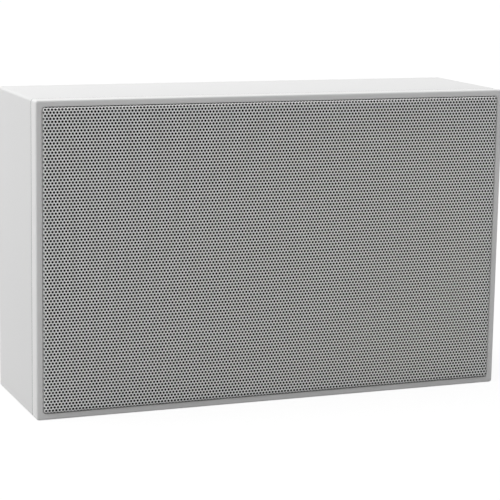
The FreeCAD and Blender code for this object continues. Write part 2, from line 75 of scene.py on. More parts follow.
# Rounded edges: degrees at the start and degrees turned, from the face or from the wall beside it
from_face = (90, -90)
from_wall = (0, 90)
corner_steps = 6
least_corner = 0.1 * mm

# Casing: edge roundings, joints and the walls behind the front
ridge_radius = 2.5 * mm
front_radius = 1.5 * mm
front_steps = 8
front_corner_share = 0.4
rear_radius = 1.0 * mm
joint_radius = 0.45 * mm
wrap_edge = 0.06 * mm
joint_gap = 0.5 * mm
lip_radius = 0.4 * mm
lip_steps = 4
inner_corner = 0.6 * mm
panel_clearance = 0.3 * mm
board_clearance = 0.2 * mm
spigot_inset = 12.3 * mm
spigot_wall = 3.0 * mm

# Perforated sheet, with a six-sided cell round each hole
hole_pitch = 3.0 * mm
hole_diameter = 2.2 * mm
hole_sides = 8
cell_sides = 6
cell_radius = hole_pitch / math.sqrt(3)
row_pitch = hole_pitch * math.sqrt(3) / 2
row_reach = 51
column_reach = 72
row_shift = 0.46 * mm
sheet_thickness = 0.8 * mm
sheet_bend = 2.5 * mm
sheet_gap = 0.5 * mm
sheet_panels = 4

# Cloth over the inside of the sheet, with its waves in radians for each metre
cloth_thickness = 0.45 * mm
cloth_tuck = 1.9 * mm
cloth_tuck_steps = 4
cloth_gap = 0.05 * mm
cloth_wave = 0.05 * mm
cloth_wave_turns = (310, 270)
cloth_columns = 72
cloth_rows = 44

# Terminals on the back
cup_border = 10.5 * mm
cup_wall = 2.5 * mm
cup_flange = 2.4 * mm
cup_corner = 4.0 * mm
cup_edge = 1.0 * mm
cup_mouth = 1.5 * mm
cup_fillet = 2.0 * mm
socket_bore = 2.0 * mm
socket_tube = 0.6 * mm
socket_depth = 18.0 * mm
socket_collar = 14.0 * mm
socket_shank = 4.0 * mm
socket_rim_drop = 0.3 * mm
socket_mouth_width = 0.3 * mm
socket_mouth_depth = 0.4 * mm
collar_radius = 0.9 * mm
collar_turn = (80, -80)
collar_steps = 4
flute_count = 12
flute_sides = 8
flute_depth = 0.35 * mm
flute_start = 1.8 * mm
flute_full = 2.6 * mm

# Screws, with shares of the head's radius or height, and threaded inserts
screw_sides = 32
recess_arm = 0.58
recess_half_width = 0.16
recess_floor = 0.7
recess_depth = 0.65
crown_share = 0.68
crown_drop = 0.7
back_screw_sizes = {"head_height": 2.0 * mm, "shank_radius": 1.6 * mm}
cup_screw_sizes = {"head_height": 1.6 * mm, "shank_radius": 1.3 * mm}
driver_screw_sizes = {"head_height": 2.4 * mm, "shank_radius": 2.0 * mm}
insert_sides = 36
insert_corners = 6
insert_bore = 2.5 * mm
insert_chamfer = 0.6 * mm
thread_pitch = 1.0 * mm
thread_depth = 0.5 * mm
thread_steps = 4

# Wadding: heights as shares of its thickness, swells as turns, sway and turns of the sway
fleece_columns = 64
fleece_rows = 56
fleece_draw = 0.02
fleece_power = 8
fleece_bulge = 0.4
fleece_edge = 0.12
fleece_crown = 0.80
fleece_lump = 0.05
fleece_swell_x = (9.0, 2.0, 5.0)
fleece_swell_z = (7.5, 1.5, 6.0)

# Soft parts of the drivers
ring_sides = 96
surround_lip = 3.5 * mm
surround_rubber = 1.0 * mm
surround_steps = 16
cone_paper = 1.3 * mm
cap_paper = 0.9 * mm
spider_cloth = 0.8 * mm
spider_waves = 5
spider_wave_height = 0.8 * mm
spider_steps = 60
silk_thickness = 0.6 * mm
dome_sides = 72
dome_steps = 14

# Finishes: range that holds most of a noise, radians for each metre of a wave texture, threads to a slub
noise_range = (0.3, 0.7)
wave_radians = 20.0
slub_threads = 6

# Studio light: watts for the lamp, watts per square metre for the sky panel
white = (1.0, 1.0, 1.0, 1.0)
world_strength = 0.19
sky_from = (-0.27, -0.01, 0.96)
sky_power = 2.6
sky_spread = 70
left_place = (-1.6, 0.05, 0.45)
left_size = 1.4
left_power = 6.2
floor_reach = 40.0
floor_drop = 0.05 * mm
floor_grey = (0.50, 0.50, 0.50, 1.0)
floor_glow = 1.19
floor_glow_share = 0.75

# Place of the photograph's viewpoint, from the hole rows and the cabinet's edges
image_pixels = 500
focal_pixels = 1885.0
camera_place = (-0.6294, -1.5862, 0.4398)
camera_yaw = 21.599
camera_pitch = 10.396
camera_roll = 0.926
camera_reach = 200.0
sensor_width = 36.0


class Value:
    """A shader socket that takes part in Python expressions, each of which adds its Math node."""

    def __init__(self, tree, socket):
        self.tree = tree
        self.socket = socket

    def maths(self, operation, first, second):
        """Result of a Math node with two inputs."""
        return self.tree.node("ShaderNodeMath", {"operation": operation}, {0: first, 1: second})

    def __add__(self, other):
        return self.maths("ADD", self, other)

    def __radd__(self, other):
        return self.maths("ADD", other, self)

    def __mul__(self, other):
        return self.maths("MULTIPLY", self, other)

    def __rmul__(self, other):
        return self.maths("MULTIPLY", other, self)

    def most(self, other):
        """The larger of two values."""
        return self.maths("MAXIMUM", self, other)


class Tree:
    """A node tree in the making. Every node is added by one method."""

    def __init__(self, tree):
        self.nodes = tree.nodes
        self.links = tree.links

    def node(self, kind, settings=None, sockets=None, output=0):
        """Any node: its settings are set first, then the values or links of its sockets."""
        made = self.nodes.new(kind)
        for key, value in (settings or {}).items():
            setattr(made, key, value)
        for key, value in (sockets or {}).items():
            self.feed(made.inputs[key], value)
        return Value(self, made.outputs[output])

    def feed(self, socket, value):
        """Links a value to a socket, or sets a plain number there."""
        if isinstance(value, Value):
            self.links.new(value.socket, socket)
        else:
            socket.default_value = value


class Finish(Tree):
    """A material in the making, with the one shader that dresses the surface."""

    def __init__(self, name, **constants):
        self.material = bpy.data.materials.new(name)
        self.material.use_nodes = True
        super().__init__(self.material.node_tree)
        self.shader = self.nodes["Principled BSDF"]
        for label, value in constants.items():
            self.shader.inputs[label.replace("_", " ")].default_value = value

    def dress(self, label, value):
        """Feeds a socket of the shader."""
        self.feed(self.shader.inputs[label], value)

    def place(self):
        """Position on the piece, in metres in the shared frame."""
        return self.node("ShaderNodeTexCoord", output="Object")

    def stretched(self, scale):
        """The position with each axis scaled, for grain that runs one way."""
        return self.node("ShaderNodeVectorMath", {"operation": "MULTIPLY"}, {0: self.place(), 1: scale})

    def grain(self, size, detail=3.0, roughness=0.55, vector=None):
        """Noise from 0 to 1 whose patches are about this size in metres."""
        sockets = {"Vector": vector or self.place(), "Scale": 1.0 / size}
        sockets.update({"Detail": detail, "Roughness": roughness})
        return self.node("ShaderNodeTexNoise", {"noise_dimensions": "3D"}, sockets)

    def wave(self, size, direction):
        """Even bands across one axis, this far apart in metres."""
        settings = {"wave_type": "BANDS", "bands_direction": direction, "wave_profile": "SIN"}
        sockets = {"Vector": self.place(), "Scale": math.tau / wave_radians / size}
        sockets.update({"Distortion": 0.0, "Detail": 0.0})
        return self.node("ShaderNodeTexWave", settings, sockets, output=1)

    def shade(self, factor, dark, light):
        """Base colour between two others."""
        sockets = {0: factor, 6: (*dark, 1.0), 7: (*light, 1.0)}
        self.dress("Base Color", self.node("ShaderNodeMix", {"data_type": "RGBA"}, sockets, output=2))

    def gloss(self, noise, rough):
        """Roughness between two values, as a noise goes through most of its range."""
        low, high = noise_range
        sockets = {0: noise, 1: low, 2: high, 3: rough[0], 4: rough[1]}
        self.dress("Roughness", self.node("ShaderNodeMapRange", {"clamp": True}, sockets))

    def bump(self, height, depth):
        """Relief of this depth in metres on the surface."""
        relief = {"Strength": 1.0, "Distance": depth, "Height": height}
        self.dress("Normal", self.node("ShaderNodeBump", {}, relief))


def mixture(first, second, share):
    """Two values mixed, with this share of the first."""
    return first * share + second * (1 - share)


def cabinet_lacquer():
    """White satin lacquer: a faint roll of the board below and a fine orange peel."""
    finish = Finish("cabinet_lacquer", Specular_IOR_Level=0.28)
    roll = finish.grain(120 * mm, detail=2.0)
    peel = finish.grain(3.5 * mm, detail=2.0, roughness=0.4)
    finish.shade(roll, dark=(0.750, 0.750, 0.752), light=(0.780, 0.779, 0.775))
    finish.gloss(mixture(roll, peel, share=0.5), rough=(0.48, 0.60))
    finish.bump(peel, depth=0.06 * mm)
    return finish.material


def pebbled(name, dark, light, slow, skin, rough, relief, **constants):
    """A white coat: slow shifts of shade, and a fine skin that breaks up the gloss."""
    finish = Finish(name, **constants)
    pebble = finish.grain(skin, detail=2.0)
    finish.shade(finish.grain(slow, detail=2.0), dark, light)
    finish.gloss(pebble, rough)
    finish.bump(pebble, relief)
    return finish.material


def speckled(name, dark, light, grain, rough, relief, blotch=60 * mm, **constants):
    """A finish with fine grain, slow blotches of shade, uneven gloss and a little relief."""
    finish = Finish(name, **constants)
    fine = finish.grain(grain)
    slow = finish.grain(blotch, detail=2.0)
    finish.shade(mixture(fine, slow, share=0.5), dark, light)
    finish.gloss(mixture(fine, slow, share=0.6), rough)
    finish.bump(fine, relief)
    return finish.material


def woven(name, dark, light, thread, rough, relief):
    """Plain weave in the X and Z directions, with slubs; lighter on the threads and darker between them as
    painted shade.
    """
    finish = Finish(name, Specular_IOR_Level=0.15)
    threads = finish.wave(thread, "X").most(finish.wave(thread, "Z"))
    slub = finish.grain(thread * slub_threads)
    height = mixture(threads, slub, share=0.7)
    # Lighter on the threads and darker between them: painted shade in the weave, with slubs as real tone.
    finish.shade(height, dark, light)
    finish.gloss(slub, rough)
    finish.bump(height, relief)
    return finish.material


def wound(name, dark, light, wire, rough):
    """Turns of wire side by side along Y, lighter on each turn and darker between turns as painted shade."""
    finish = Finish(name, Metallic=0.9)
    turns = finish.wave(wire, "Y")
    grime = finish.grain(4 * mm)
    # Lighter on each turn and darker between turns: painted shade in the grooves, mixed with random grime.
    finish.shade(mixture(turns, grime, share=0.6), dark, light)
    finish.gloss(grime, rough)
    finish.bump(turns, wire / 2)
    return finish.material


def brushed(name, dark, light, rough, draw=0.2):
    """Plated metal with fine lines drawn along Y."""
    finish = Finish(name, Metallic=1.0)
    lines = finish.grain(1.2 * mm, detail=4.0, roughness=0.6, vector=finish.stretched((1.0, draw, 1.0)))
    cloud = finish.grain(12 * mm)
    finish.shade(mixture(lines, cloud, share=0.5), dark, light)
    finish.gloss(lines, rough)
    finish.bump(lines, depth=0.02 * mm)
    return finish.material


pebbled_finishes = {
    "frame_white": dict(
        dark=(0.775, 0.775, 0.778), light=(0.800, 0.799, 0.795),
        slow=90 * mm, skin=0.6 * mm, rough=(0.38, 0.50), relief=0.03 * mm, Specular_IOR_Level=0.4),
    "grille_white": dict(
        dark=(0.905, 0.905, 0.900), light=(0.930, 0.929, 0.922),
        slow=100 * mm, skin=0.5 * mm, rough=(0.34, 0.48), relief=0.02 * mm, Specular_IOR_Level=0.5),
}
speckled_finishes = {
    "baffle_fibreboard": dict(
        dark=(0.010, 0.010, 0.010), light=(0.028, 0.027, 0.026),
        grain=1.5 * mm, rough=(0.70, 0.88), relief=0.1 * mm),
    "back_foil": dict(
        dark=(0.745, 0.745, 0.748), light=(0.800, 0.799, 0.794),
        grain=0.7 * mm, rough=(0.45, 0.62), relief=0.08 * mm),
    "black_screw": dict(
        dark=(0.012, 0.012, 0.013), light=(0.045, 0.045, 0.048),
        grain=0.6 * mm, rough=(0.35, 0.55), relief=0.03 * mm, blotch=4 * mm, Metallic=0.8),
    "basket_black": dict(
        dark=(0.012, 0.012, 0.013), light=(0.035, 0.035, 0.036),
        grain=1.2 * mm, rough=(0.35, 0.55), relief=0.05 * mm),
    "surround_rubber": dict(
        dark=(0.012, 0.012, 0.012), light=(0.030, 0.030, 0.031),
        grain=0.9 * mm, rough=(0.50, 0.68), relief=0.04 * mm),
    "cone_paper": dict(
        dark=(0.025, 0.025, 0.026), light=(0.075, 0.074, 0.073),
        grain=1.6 * mm, rough=(0.72, 0.90), relief=0.2 * mm, blotch=20 * mm),
    "ferrite": dict(
        dark=(0.030, 0.030, 0.033), light=(0.075, 0.075, 0.078),
        grain=0.8 * mm, rough=(0.55, 0.78), relief=0.1 * mm),
    "tweeter_black": dict(
        dark=(0.012, 0.012, 0.012), light=(0.030, 0.030, 0.030),
        grain=0.6 * mm, rough=(0.40, 0.58), relief=0.05 * mm),
    "tweeter_motor_black": dict(
        dark=(0.015, 0.015, 0.015), light=(0.040, 0.040, 0.040),
        grain=1.0 * mm, rough=(0.35, 0.55), relief=0.04 * mm),
    "terminal_black": dict(
        dark=(0.010, 0.010, 0.011), light=(0.028, 0.028, 0.029),
        grain=0.7 * mm, rough=(0.42, 0.62), relief=0.07 * mm, blotch=20 * mm),
    "socket_red": dict(
        dark=(0.42, 0.010, 0.010), light=(0.62, 0.022, 0.018),
        grain=1.0 * mm, rough=(0.22, 0.36), relief=0.02 * mm, blotch=10 * mm),
    "socket_black": dict(
        dark=(0.010, 0.010, 0.010), light=(0.030, 0.030, 0.030),
        grain=1.0 * mm, rough=(0.22, 0.36), relief=0.02 * mm, blotch=10 * mm),
    "circuit_board": dict(
        dark=(0.030, 0.130, 0.050), light=(0.070, 0.230, 0.100),
        grain=2.0 * mm, rough=(0.35, 0.50), relief=0.04 * mm, blotch=15 * mm),
    "capacitor_film": dict(
        dark=(0.62, 0.48, 0.06), light=(0.80, 0.68, 0.14),
        grain=3.0 * mm, rough=(0.25, 0.40), relief=0.04 * mm, blotch=12 * mm),
    "resistor_cement": dict(
        dark=(0.70, 0.69, 0.65), light=(0.84, 0.83, 0.80),
        grain=1.2 * mm, rough=(0.75, 0.92), relief=0.2 * mm, blotch=10 * mm),
    "lead_sleeve": dict(
        dark=(0.015, 0.015, 0.015), light=(0.035, 0.035, 0.035),
        grain=1.0 * mm, rough=(0.45, 0.62), relief=0.03 * mm, blotch=20 * mm),
    "wadding_fleece": dict(
        dark=(0.58, 0.58, 0.56), light=(0.80, 0.80, 0.78),
        grain=2.2 * mm, rough=(0.90, 1.00), relief=1.2 * mm, blotch=30 * mm),
    # Near black on the back of the grille and in its holes: painted shade in the holes.
    "grille_primer": dict(
        dark=(0.010, 0.010, 0.010), light=(0.022, 0.022, 0.022),
        grain=0.6 * mm, rough=(0.70, 0.85), relief=0.02 * mm),
}
woven_finishes = {
    "black_cloth": dict(
        dark=(0.004, 0.004, 0.004), light=(0.016, 0.016, 0.017),
        thread=0.5 * mm, rough=(0.85, 0.97), relief=0.2 * mm),
    "spider_cloth": dict(
        dark=(0.36, 0.24, 0.09), light=(0.66, 0.50, 0.25),
        thread=0.7 * mm, rough=(0.70, 0.88), relief=0.2 * mm),
    "tweeter_silk": dict(
        dark=(0.012, 0.012, 0.013), light=(0.045, 0.045, 0.048),
        thread=0.3 * mm, rough=(0.55, 0.75), relief=0.1 * mm),
}
wound_finishes = {
    "coil_former": dict(
        dark=(0.45, 0.22, 0.10), light=(0.80, 0.46, 0.26), wire=0.3 * mm, rough=(0.25, 0.45)),
    "copper_wire": dict(
        dark=(0.42, 0.16, 0.06), light=(0.80, 0.40, 0.20), wire=1.1 * mm, rough=(0.22, 0.40)),
}
brushed_finishes = {
    "insert_brass": dict(
        dark=(0.55, 0.39, 0.17), light=(0.78, 0.60, 0.31), rough=(0.22, 0.42), draw=0.15),
    "motor_steel": dict(dark=(0.42, 0.42, 0.42), light=(0.64, 0.64, 0.63), rough=(0.28, 0.48)),
    "nut_brass": dict(dark=(0.55, 0.42, 0.20), light=(0.78, 0.63, 0.36), rough=(0.25, 0.45)),
    "plated_tube": dict(dark=(0.62, 0.61, 0.58), light=(0.82, 0.81, 0.78), rough=(0.14, 0.30)),
}


def all_finishes():
    """Every finish under its name."""
    kinds = [
        (pebbled, pebbled_finishes),
        (speckled, speckled_finishes),
        (woven, woven_finishes),
        (wound, wound_finishes),
        (brushed, brushed_finishes),
    ]
    made = {"cabinet_lacquer": cabinet_lacquer()}
    for kind, recipes in kinds:
        for name, recipe in recipes.items():
            made[name] = kind(name, **recipe)
    return made


finishes = all_finishes()


class Shell:
    """Points and faces of a piece in the making."""

    def __init__(self):
        self.points = []
        self.faces = []

    def loop(self, points):
        """Adds points and returns their numbers."""
        start = len(self.points)
        self.points += points
        return list(range(start, len(self.points)))

    def bridge(self, first, second):
        """Faces between two loops of as many points, or between a loop and a single point."""
        for i in range(max(len(first), len(second))):
            j = i + 1
            near = first[i % len(first)], first[j % len(first)]
            far = second[i % len(second)], second[j % len(second)]
            self.faces.append(tuple(dict.fromkeys((near[0], far[0], far[1], near[1]))))

    def skin(self, loops, closed=False):
        """Faces along a row of loops. Returns the numbers of the first and of the last loop."""
        rows = [self.loop(points) for points in loops]
        for first, second in zip(rows, rows[1:]):
            self.bridge(first, second)
        if closed:
            self.bridge(rows[-1], rows[0])
        return rows[0], rows[-1]

    def cap(self, loop):
        """One face over a whole loop."""
        self.faces.append(tuple(loop))


def piece(name, shell, slot, nodes, body="cabinet", crease=40.0, extra=None, extra_faces=()):
    """A mesh piece in its finish that stands for CAD nodes. Its extra faces wear the extra finish.

    A piece without a body is left unattached.
    """
    mesh = bpy.data.meshes.new(name)
    mesh.from_pydata([tuple(p) for p in shell.points], [], shell.faces)
    mesh.materials.append(finishes[slot])
    if extra:
        mesh.materials.append(finishes[extra])
        worn = np.zeros(len(shell.faces), dtype=np.int32)
        worn[list(extra_faces)] = 1
        mesh.polygons.foreach_set("material_index", worn)
    face_outwards(mesh)
    mesh.shade_smooth()
    mesh.set_sharp_from_angle(angle=math.radians(crease))
    made = bpy.data.objects.new(name, mesh)
    bpy.context.scene.collection.objects.link(made)
    if body:
        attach(made, body)
    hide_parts(*nodes)
    return made


def face_outwards(mesh):
    """Turns the faces of closed shells so that all look outwards."""
    shape = bmesh.new()
    shape.from_mesh(mesh)
    bmesh.ops.recalc_face_normals(shape, faces=shape.faces)
    shape.to_mesh(mesh)
    shape.free()


def size_of(node):
    """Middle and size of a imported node."""
    low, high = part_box(node)
    return (low + high) / 2, high - low


def islands(node):
    """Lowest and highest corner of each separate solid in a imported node, in a fixed order."""
    shape = bmesh.new()
    shape.from_mesh(frame["nodes"][node].data)
    bmesh.ops.remove_doubles(shape, verts=shape.verts, dist=weld_distance)
    left = set(shape.verts)
    found = []
    while left:
        group, front = [], [left.pop()]
        while front:
            vertex = front.pop()
            group.append(tuple(vertex.co))
            reached = {edge.other_vert(vertex) for edge in vertex.link_edges} & left
            left -= reached
            front += reached
        found.append((tuple(map(min, zip(*group))), tuple(map(max, zip(*group)))))
    shape.free()
    return [(Vector(low), Vector(high)) for low, high in sorted(found)]


def rounded_loop(width, height, corner, middle, y):
    """Points round a rectangle with rounded corners, facing along Y."""
    corner = max(corner, least_corner)
    points = []
    for quarter in range(4):
        start = quarter * math.pi / 2
        side_x = 1 if quarter in (0, 3) else -1
        side_z = 1 if quarter in (0, 1) else -1
        for step in range(corner_steps + 1):
            angle = start + step / corner_steps * math.pi / 2
            x = middle.x + side_x * (width / 2 - corner) + corner * math.cos(angle)
            z = middle.z + side_z * (height / 2 - corner) + corner * math.sin(angle)
            points.append((x, y, z))
    return points


def inset_loops(node, sections):
    """Rounded rectangles set in from a node's outer size, from (inset, y, corner) sections."""
    middle, size = size_of(node)
    loops = []
    for inset, y, corner in sections:
        loops.append(rounded_loop(size.x - 2 * inset, size.z - 2 * inset, corner, middle, y))
    return loops


def rounding(radius, start, turn, steps=5):
    """Offsets along a quarter of a rounded edge, as (inset, along) pairs from start degrees."""
    found = []
    for step in range(steps + 1):
        angle = math.radians(start + turn * step / steps)
        found.append((radius - radius * math.cos(angle), radius * math.sin(angle)))
    return found


def round_angles(sides):
    """Angles of the corners of an even ring, half a side past the X axis."""
    return [math.tau * (i + 0.5) / sides for i in range(sides)]


def ripple(angle):
    """A smooth wave from 1 to 0 and back."""
    return 0.5 + 0.5 * math.cos(angle)


def turned(profile, centre, sides, relief=lambda angle, y: 0.0):
    """Loops of a turned form, from (radius, y) pairs. A radius of 0 is one point on the axis."""
    loops = []
    for radius, y in profile:
        loop = [(centre.x, y, centre.z)]
        if radius > 0:
            reach = [(radius + relief(a, y), a) for a in round_angles(sides)]
            loop = [(centre.x + r * math.cos(a), y, centre.z + r * math.sin(a)) for r, a in reach]
        loops.append(loop)
    return loops


def ring_faces(outer, inner, outer_start, inner_start):
    """Triangles between two loops of points, given as angles that rise from their start."""
    faces = []
    i = j = 0
    while i < len(outer) or j < len(inner):
        next_outer = outer[i] if i < len(outer) else math.inf
        next_inner = inner[j] if j < len(inner) else math.inf
        a = outer_start + (i - 1) % len(outer)
        b = inner_start + (j - 1) % len(inner)
        if next_outer <= next_inner:
            faces.append((a, outer_start + i, b))
            i += 1
        else:
            faces.append((b, a, inner_start + j))
            j += 1
    return faces


def cabinet_walls():
    """The four walls as one folded wrap: eased edges at the joint and the back, dark board inside, and
    painted shade on the wrap's front edge in the joint.
    """
    low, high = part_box("cabinet_wrap")
    panel_low, panel_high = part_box("back_panel")
    seat = high.x - panel_high.x - panel_clearance
    inner = high.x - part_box("baffle_board")[1].x - board_clearance
    sections = []
    for inset, along in rounding(wrap_edge, *from_face):
        sections.append((inset, low.y + wrap_edge - along, ridge_radius))
    for inset, along in rounding(rear_radius, *from_wall):
        sections.append((inset, high.y - rear_radius + along, ridge_radius))
    sections += [
        (seat - lip_radius, high.y, inner_corner),
        (seat, high.y - lip_radius, inner_corner),
        (seat, panel_low.y, inner_corner),
        (inner, panel_low.y, inner_corner),
        (inner, low.y, inner_corner),
    ]
    shell = Shell()
    loops = inset_loops("cabinet_wrap", sections)
    shell.skin(loops, closed=True)
    # The last two bands are the inside walls and the wrap's front edge in the joint: dark board inside,
    # painted shade in the joint.
    inside = range((len(loops) - 2) * len(loops[0]), len(shell.faces))
    dark = {"extra": "baffle_fibreboard", "extra_faces": inside}
    return piece("cabinet_walls", shell, "cabinet_lacquer", ["cabinet_wrap"], **dark)


def moulded_frame():
    """The front frame: rounded outside, a fine lip round the opening, a ledge and a spigot behind it."""
    low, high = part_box("front_frame")
    tray_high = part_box("grille")[1]
    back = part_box("cabinet_wrap")[0].y - joint_gap
    opening = high.x - tray_high.x - sheet_gap
    opening_corner = sheet_bend + sheet_gap
    mouth = spigot_inset + spigot_wall
    sections = []
    for inset, along in rounding(joint_radius, *from_face):
        sections.append((inset, back - joint_radius + along, ridge_radius))
    for inset, along in rounding(front_radius, *from_wall, front_steps):
        sections.append((inset, low.y + front_radius - along, ridge_radius - inset * front_corner_share))
    for inset, along in rounding(lip_radius, *from_face, lip_steps):
        sections.append((opening - inset, low.y + lip_radius - along, opening_corner))
    sections += [
        (opening, tray_high.y, opening_corner),
        (mouth, tray_high.y, inner_corner),
        (mouth, high.y, inner_corner),
        (spigot_inset, high.y, inner_corner),
        (spigot_inset, back, inner_corner),
    ]
    shell = Shell()
    shell.skin(inset_loops("front_frame", sections), closed=True)
    return piece("moulded_frame", shell, "frame_white", ["front_frame"])


def hole_rows():
    """Centres of the perforation on the flat sheet, from its middle, as (x, z) rows."""
    centres = []
    for row in range(-row_reach, row_reach + 1):
        count = 2 * column_reach - 1 + row % 2
        for column in range(count):
            centres.append(((column - (count - 1) / 2) * hole_pitch, row * row_pitch + row_shift))
    return np.array(centres)


def around(centres, radius, sides):
    """Corners of an even ring round every centre on the flat sheet."""
    ring = radius * np.array([(math.cos(a), math.sin(a)) for a in round_angles(sides)])
    return (centres[:, None] + ring[None]).reshape(-1, 2)


def hole_cells(centres):
    """Corners of the cells round the holes, and for each cell the numbers of its corners."""
    corners = around(centres, cell_radius, cell_sides)
    steps = np.array([hole_pitch / 2, cell_radius / 2])
    keys = np.round((corners - np.array([0.0, row_shift])) / steps).astype(int)
    _, first, shared = np.unique(keys, axis=0, return_index=True, return_inverse=True)
    return corners[first], shared.reshape(-1, cell_sides)


def lone_edges(cells):
    """Edges of a group of cells that only one of them has, as pairs of corner numbers."""
    edges = np.concatenate([cells[:, [i, (i + 1) % cell_sides]] for i in range(cell_sides)])
    _, kind, seen = np.unique(np.sort(edges, 1), axis=0, return_inverse=True, return_counts=True)
    return edges[seen[kind.ravel()] == 1]


def edge_keys(edges):
    """Each edge as a pair that doesn't depend on its direction."""
    return [tuple(sorted(edge)) for edge in edges.tolist()]


def over_the_bend(flat):
    """For points of the flat sheet, the nearest places between the tray's bends, and the way from there."""
    size = size_of("grille")[1]
    half_flat = np.array([size.x / 2 - sheet_bend, size.z / 2 - sheet_bend])
    held = np.clip(flat, -half_flat, half_flat)
    over = flat - held
    reach = np.linalg.norm(over, axis=1)
    return held, over / np.maximum(reach, tiny)[:, None], reach


def folded(flat):
    """Lays points of the flat sheet round the bent edges of the tray, and gives their normals too."""
    middle = size_of("grille")[0]
    held, aim, reach = over_the_bend(flat)
    turn = np.minimum(reach / sheet_bend, math.pi / 2)
    out = sheet_bend * np.sin(turn)
    past = np.maximum(reach - sheet_bend * math.pi / 2, 0.0)
    back = sheet_bend * (1 - np.cos(turn)) + past
    x = middle.x + held[:, 0] + aim[:, 0] * out
    z = middle.z + held[:, 1] + aim[:, 1] * out
    points = np.stack([x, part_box("grille")[0].y + back, z], 1)
    normals = np.stack([aim[:, 0] * np.sin(turn), -np.cos(turn), aim[:, 1] * np.sin(turn)], 1)
    return points, normals


def flange_ends(rim):
    """Ends of the folded flange past the points of the rim, on the flat sheet."""
    held, aim, _ = over_the_bend(rim)
    length = size_of("grille")[1].y - sheet_bend + sheet_bend * math.pi / 2
    return held + aim * length


def sieve_faces(table, total):
    """Faces on the front of the sheet, and those on its back and in its holes.

    Each row of the table has the points of a hole and then those of its cell.
    """
    template = ring_faces(round_angles(cell_sides), round_angles(hole_sides), hole_sides, 0)
    front = np.concatenate([table[:, list(face)] for face in template])
    hidden = (front[:, ::-1] + total).tolist()
    for i in range(hole_sides):
        a, b = table[:, i], table[:, (i + 1) % hole_sides]
        hidden += np.stack([a, b, b + total, a + total], 1).tolist()
    return front.tolist(), hidden


def flange_faces(rim, end_of, total):
    """Outside, inside and end of the folded flange."""
    faces = []
    for a, b in rim.tolist():
        a_end, b_end = end_of[a], end_of[b]
        faces.append((a, a_end, b_end, b))
        faces.append((a + total, b + total, b_end + total, a_end + total))
        faces.append((a_end, a_end + total, b_end + total, b_end))
    return faces


def panel_ends(rim, end_of):
    """Edges across the flange where a panel meets its neighbour, so that each panel is closed."""
    starts = set(rim[:, 0].tolist())
    stops = set(rim[:, 1].tolist())
    found = [(end_of[p], p) for p in starts - stops]
    found += [(p, end_of[p]) for p in stops - starts]
    return found


def perforated_panel(name, centres, corners, cells, outer):
    """One upright strip of the perforated tray, as a closed sheet with its holes cut through."""
    holes = around(centres, hole_diameter / 2, hole_sides)
    kept, local = np.unique(cells, return_inverse=True)
    numbers = np.arange(len(holes)).reshape(-1, hole_sides)
    table = np.concatenate([numbers, local.reshape(cells.shape) + len(holes)], 1)
    flat = np.concatenate([holes, corners[kept]])

    border = lone_edges(cells)
    outside = np.array([key in outer for key in edge_keys(border)])
    border = np.searchsorted(kept, border) + len(holes)
    rim, cut = border[outside], border[~outside]
    rim_points = np.unique(rim)
    end_of = {point: len(flat) + i for i, point in enumerate(rim_points.tolist())}
    points, normals = folded(np.concatenate([flat, flange_ends(flat[rim_points])]))

    total = len(points)
    front, hidden = sieve_faces(table, total)
    shell = Shell()
    shell.loop(np.concatenate([points, points - normals * sheet_thickness]).tolist())
    shell.faces += front + hidden + flange_faces(rim, end_of, total)
    for a, b in cut.tolist() + panel_ends(rim, end_of):
        shell.faces.append((a, a + total, b + total, b))
    # The back of the sheet and the walls of its holes wear near black: painted shade in the holes.
    dark = {"extra": "grille_primer", "extra_faces": range(len(front), len(front) + len(hidden))}
    return piece(name, shell, "grille_white", ["grille"], crease=50.0, **dark)


def perforated_sheet():
    """The grille, in upright panels that meet between columns of holes."""
    size = size_of("grille")[1]
    centres = hole_rows()
    corners, cells = hole_cells(centres)
    outer = set(edge_keys(lone_edges(cells)))
    width = size.x / sheet_panels
    strip = np.clip(((centres[:, 0] + size.x / 2) / width).astype(int), 0, sheet_panels - 1)
    made = []
    for index in range(sheet_panels):
        name = f"perforated_panel_{index + 1}"
        chosen = strip == index
        made.append(perforated_panel(name, centres[chosen], corners, cells[chosen], outer))
    return made


def tucked_line(half, count):
    """Places along the cloth, closer together where it goes round the bend."""
    tuck = np.linspace(0.0, cloth_tuck, cloth_tuck_steps + 1)[1:]
    return np.concatenate([-half - tuck[::-1], np.linspace(-half, half, count), half + tuck])


def sheet_faces(wide, tall):
    """Faces of a closed thin sheet whose front grid of points comes before its back grid."""
    total = wide * tall
    faces = []
    for row in range(tall - 1):
        for column in range(wide - 1):
            a = row * wide + column
            faces.append((a, a + 1, a + 1 + wide, a + wide))
            faces.append((a + total, a + wide + total, a + 1 + wide + total, a + 1 + total))
    border = list(range(wide - 1)) + [wide - 1 + row * wide for row in range(tall - 1)]
    border += [(tall - 1) * wide + column for column in range(wide - 1, 0, -1)]
    border += [row * wide for row in range(tall - 1, 0, -1)]
    for a, b in zip(border, border[1:] + border[:1]):
        faces.append((a, a + total, b + total, b))
    return faces


def stretched_cloth(panels):
    """The black cloth behind the sheet, drawn flat and tucked into the bend of the tray's edges."""
    size = size_of("grille")[1]
    half_flat = [size.x / 2 - sheet_bend, size.z / 2 - sheet_bend]
    xs = tucked_line(half_flat[0], cloth_columns)
    zs = tucked_line(half_flat[1], cloth_rows)
    flat = np.stack(np.meshgrid(xs, zs), 2).reshape(-1, 2)
    points, normals = folded(flat)
    wave = cloth_wave * (1 + np.prod(np.sin(flat * cloth_wave_turns), 1))
    front = points - normals * (sheet_thickness + cloth_gap + wave)[:, None]
    back = front - normals * cloth_thickness
    shell = Shell()
    shell.loop(front.tolist() + back.tolist())
    shell.faces += sheet_faces(len(xs), len(zs))
    cloth = piece("stretched_cloth", shell, "black_cloth", ["acoustic_cloth"])
    return cloth


def cross_outline(arm, half_width):
    """Corners of a cross recess, in the order of their angles."""
    corners = [(arm, half_width), (half_width, half_width), (half_width, arm)]
    outline = []
    for quarter in range(4):
        outline += corners
        corners = [(-z, x) for x, z in corners]
    return outline


